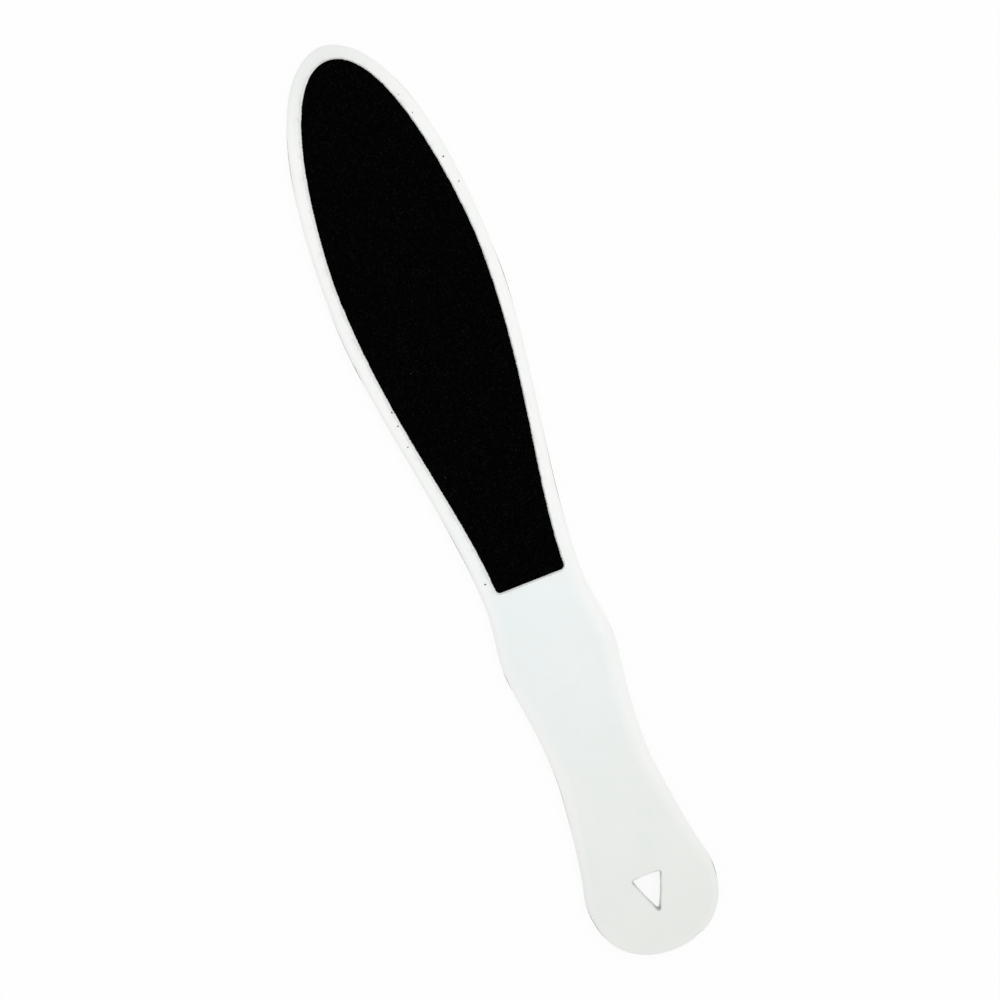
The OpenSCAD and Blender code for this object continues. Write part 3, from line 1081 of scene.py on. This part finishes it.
# Size of each sheet's grain, depth of its relief, and the seeds of chance
COARSE_GRAIN = 0.30
COARSE_RELIEF = 0.16
COARSE_SEED = 11
FINE_GRAIN = 0.16
FINE_RELIEF = 0.08
FINE_SEED = 29
GRIT_LAYER_SEED = 3
PAPER_LAYER_SEED = 5
GLUE_LAYER_SEED = 7
GRAINS_SEED = 5
CRUMBS_SEED = 8

moulding = paddle()
finish_piece(moulding, "white_plastic", "paddle_body")

coarse_material = grit("coarse_abrasive", COARSE_GRAIN)
fine_material = grit("fine_abrasive", FINE_GRAIN)
paper = backing_paper()
film = adhesive_film()


def bonded_sheet(side, seed, relief, material, face, floor):
    """Adds a sheet's coat, backing and adhesive, and the bead round it. Returns its coat and its bead."""
    sheet = Sheet(f"{side}_grit", seed)
    coat = sheet.coat(f"{side}_grit_coat", f"{side}_grit", GRIT_LAYER_SEED, relief, material)
    finish_piece(coat, f"{side}_abrasive", f"{side}_grit")
    paper_layer = sheet.plate(f"{side}_backing_paper", f"{side}_backing", PAPER_LAYER_SEED, paper)
    finish_piece(paper_layer, "sheet_backing", f"{side}_backing")
    glue_layer = sheet.plate(f"{side}_adhesive_film", f"{side}_adhesive", GLUE_LAYER_SEED, film)
    finish_piece(glue_layer, "adhesive", f"{side}_adhesive")
    bead = glue_bead(f"{side}_adhesive_bead", sheet, face, floor, film)
    finish_piece(bead, "adhesive")
    return coat, bead


coarse_pieces = bonded_sheet(
    "coarse", COARSE_SEED, COARSE_RELIEF, coarse_material, body_high.z, coarse_floor
)
bonded_sheet("fine", FINE_SEED, FINE_RELIEF, fine_material, body_low.z, fine_floor)

bpy.context.view_layer.update()
coarse_face = (moulding, *coarse_pieces)
grains = crumbs("loose_grains", LOOSE_GRAINS, coarse_face, coarse_material, GRAINS_SEED)
finish_piece(grains, "coarse_abrasive")
grey = crumbs("grey_crumbs", GREY_CRUMBS, coarse_face, dusty_grain(), CRUMBS_SEED)
finish_piece(grey, "coarse_abrasive")


# Floor, light and background
FLOOR_HALF = 4
FLOOR_SHADE_SHARE = 0.14
FLOOR_COLOUR = (0.95, 0.95, 0.95, 1)
WORLD_AT_LEVEL = 0.86
WORLD_OVERHEAD = 0.88
KEY_POWER = 2.1
KEY_SIZE = 0.9
KEY_PLACE = (0.34, 0.10, 1.2)


def seen_share(tree):
    """1 for what the camera sees straight, in a gloss or through glass, else 0."""
    path = add(tree, "ShaderNodeLightPath")
    first = add(
        tree, "ShaderNodeMath",
        {0: path.outputs["Is Camera Ray"], 1: path.outputs["Is Glossy Ray"]}, operation="MAXIMUM",
    )
    inputs = {0: first.outputs[0], 1: path.outputs["Is Transmission Ray"]}
    return add(tree, "ShaderNodeMath", inputs, operation="MAXIMUM").outputs[0]


def make_floor():
    """A pale floor that shows white to the camera and keeps part of the shadow."""
    material, tree, shader = new_material(
        "floor", Base_Color=FLOOR_COLOUR, Roughness=0.9, Specular_IOR_Level=0
    )
    glow = add(tree, "ShaderNodeEmission", {"Color": (1, 1, 1, 1), "Strength": 1.0})
    share = product(tree, seen_share(tree), 1 - FLOOR_SHADE_SHARE)
    both = add(tree, "ShaderNodeMixShader", {0: share, 1: shader.outputs[0], 2: glow.outputs[0]})
    tree.links.new(both.outputs[0], tree.nodes["Material Output"].inputs["Surface"])
    mesh = bpy.data.meshes.new("floor")
    reach = FLOOR_HALF
    level = cad_low.z
    mesh.from_pydata(
        [(-reach, -reach, level), (reach, -reach, level), (reach, reach, level), (-reach, reach, level)],
        [], [(0, 1, 2, 3)],
    )
    floor = add_object("floor", mesh, material)


def make_light():
    """A white surround, a little brighter overhead, and one large soft lamp to the right of the file."""
    world = bpy.data.worlds.new("surround")
    bpy.context.scene.world = world
    world.use_nodes = True
    tree = world.node_tree
    background = tree.nodes["Background"]
    background.inputs["Color"].default_value = (1, 1, 1, 1)
    way = add(tree, "ShaderNodeTexCoord").outputs["Generated"]
    height = add(tree, "ShaderNodeSeparateXYZ", {0: way}).outputs["Z"]
    lit = span(tree, height, 0, 1, WORLD_AT_LEVEL, WORLD_OVERHEAD)
    strength = span(tree, seen_share(tree), 0, 1, lit, 1)
    tree.links.new(strength, background.inputs["Strength"])
    lamp_data = bpy.data.lights.new("key", "AREA")
    lamp_data.shape = "DISK"
    lamp_data.size = KEY_SIZE
    lamp_data.energy = KEY_POWER
    lamp = bpy.data.objects.new("key", lamp_data)
    lamp.location = KEY_PLACE
    lamp.rotation_euler = (-Vector(KEY_PLACE)).to_track_quat("-Z", "Y").to_euler()
    bpy.context.scene.collection.objects.link(lamp)


make_floor()
make_light()
bpy.context.scene.view_settings.view_transform = "Standard"

bpy.context.view_layer.update()
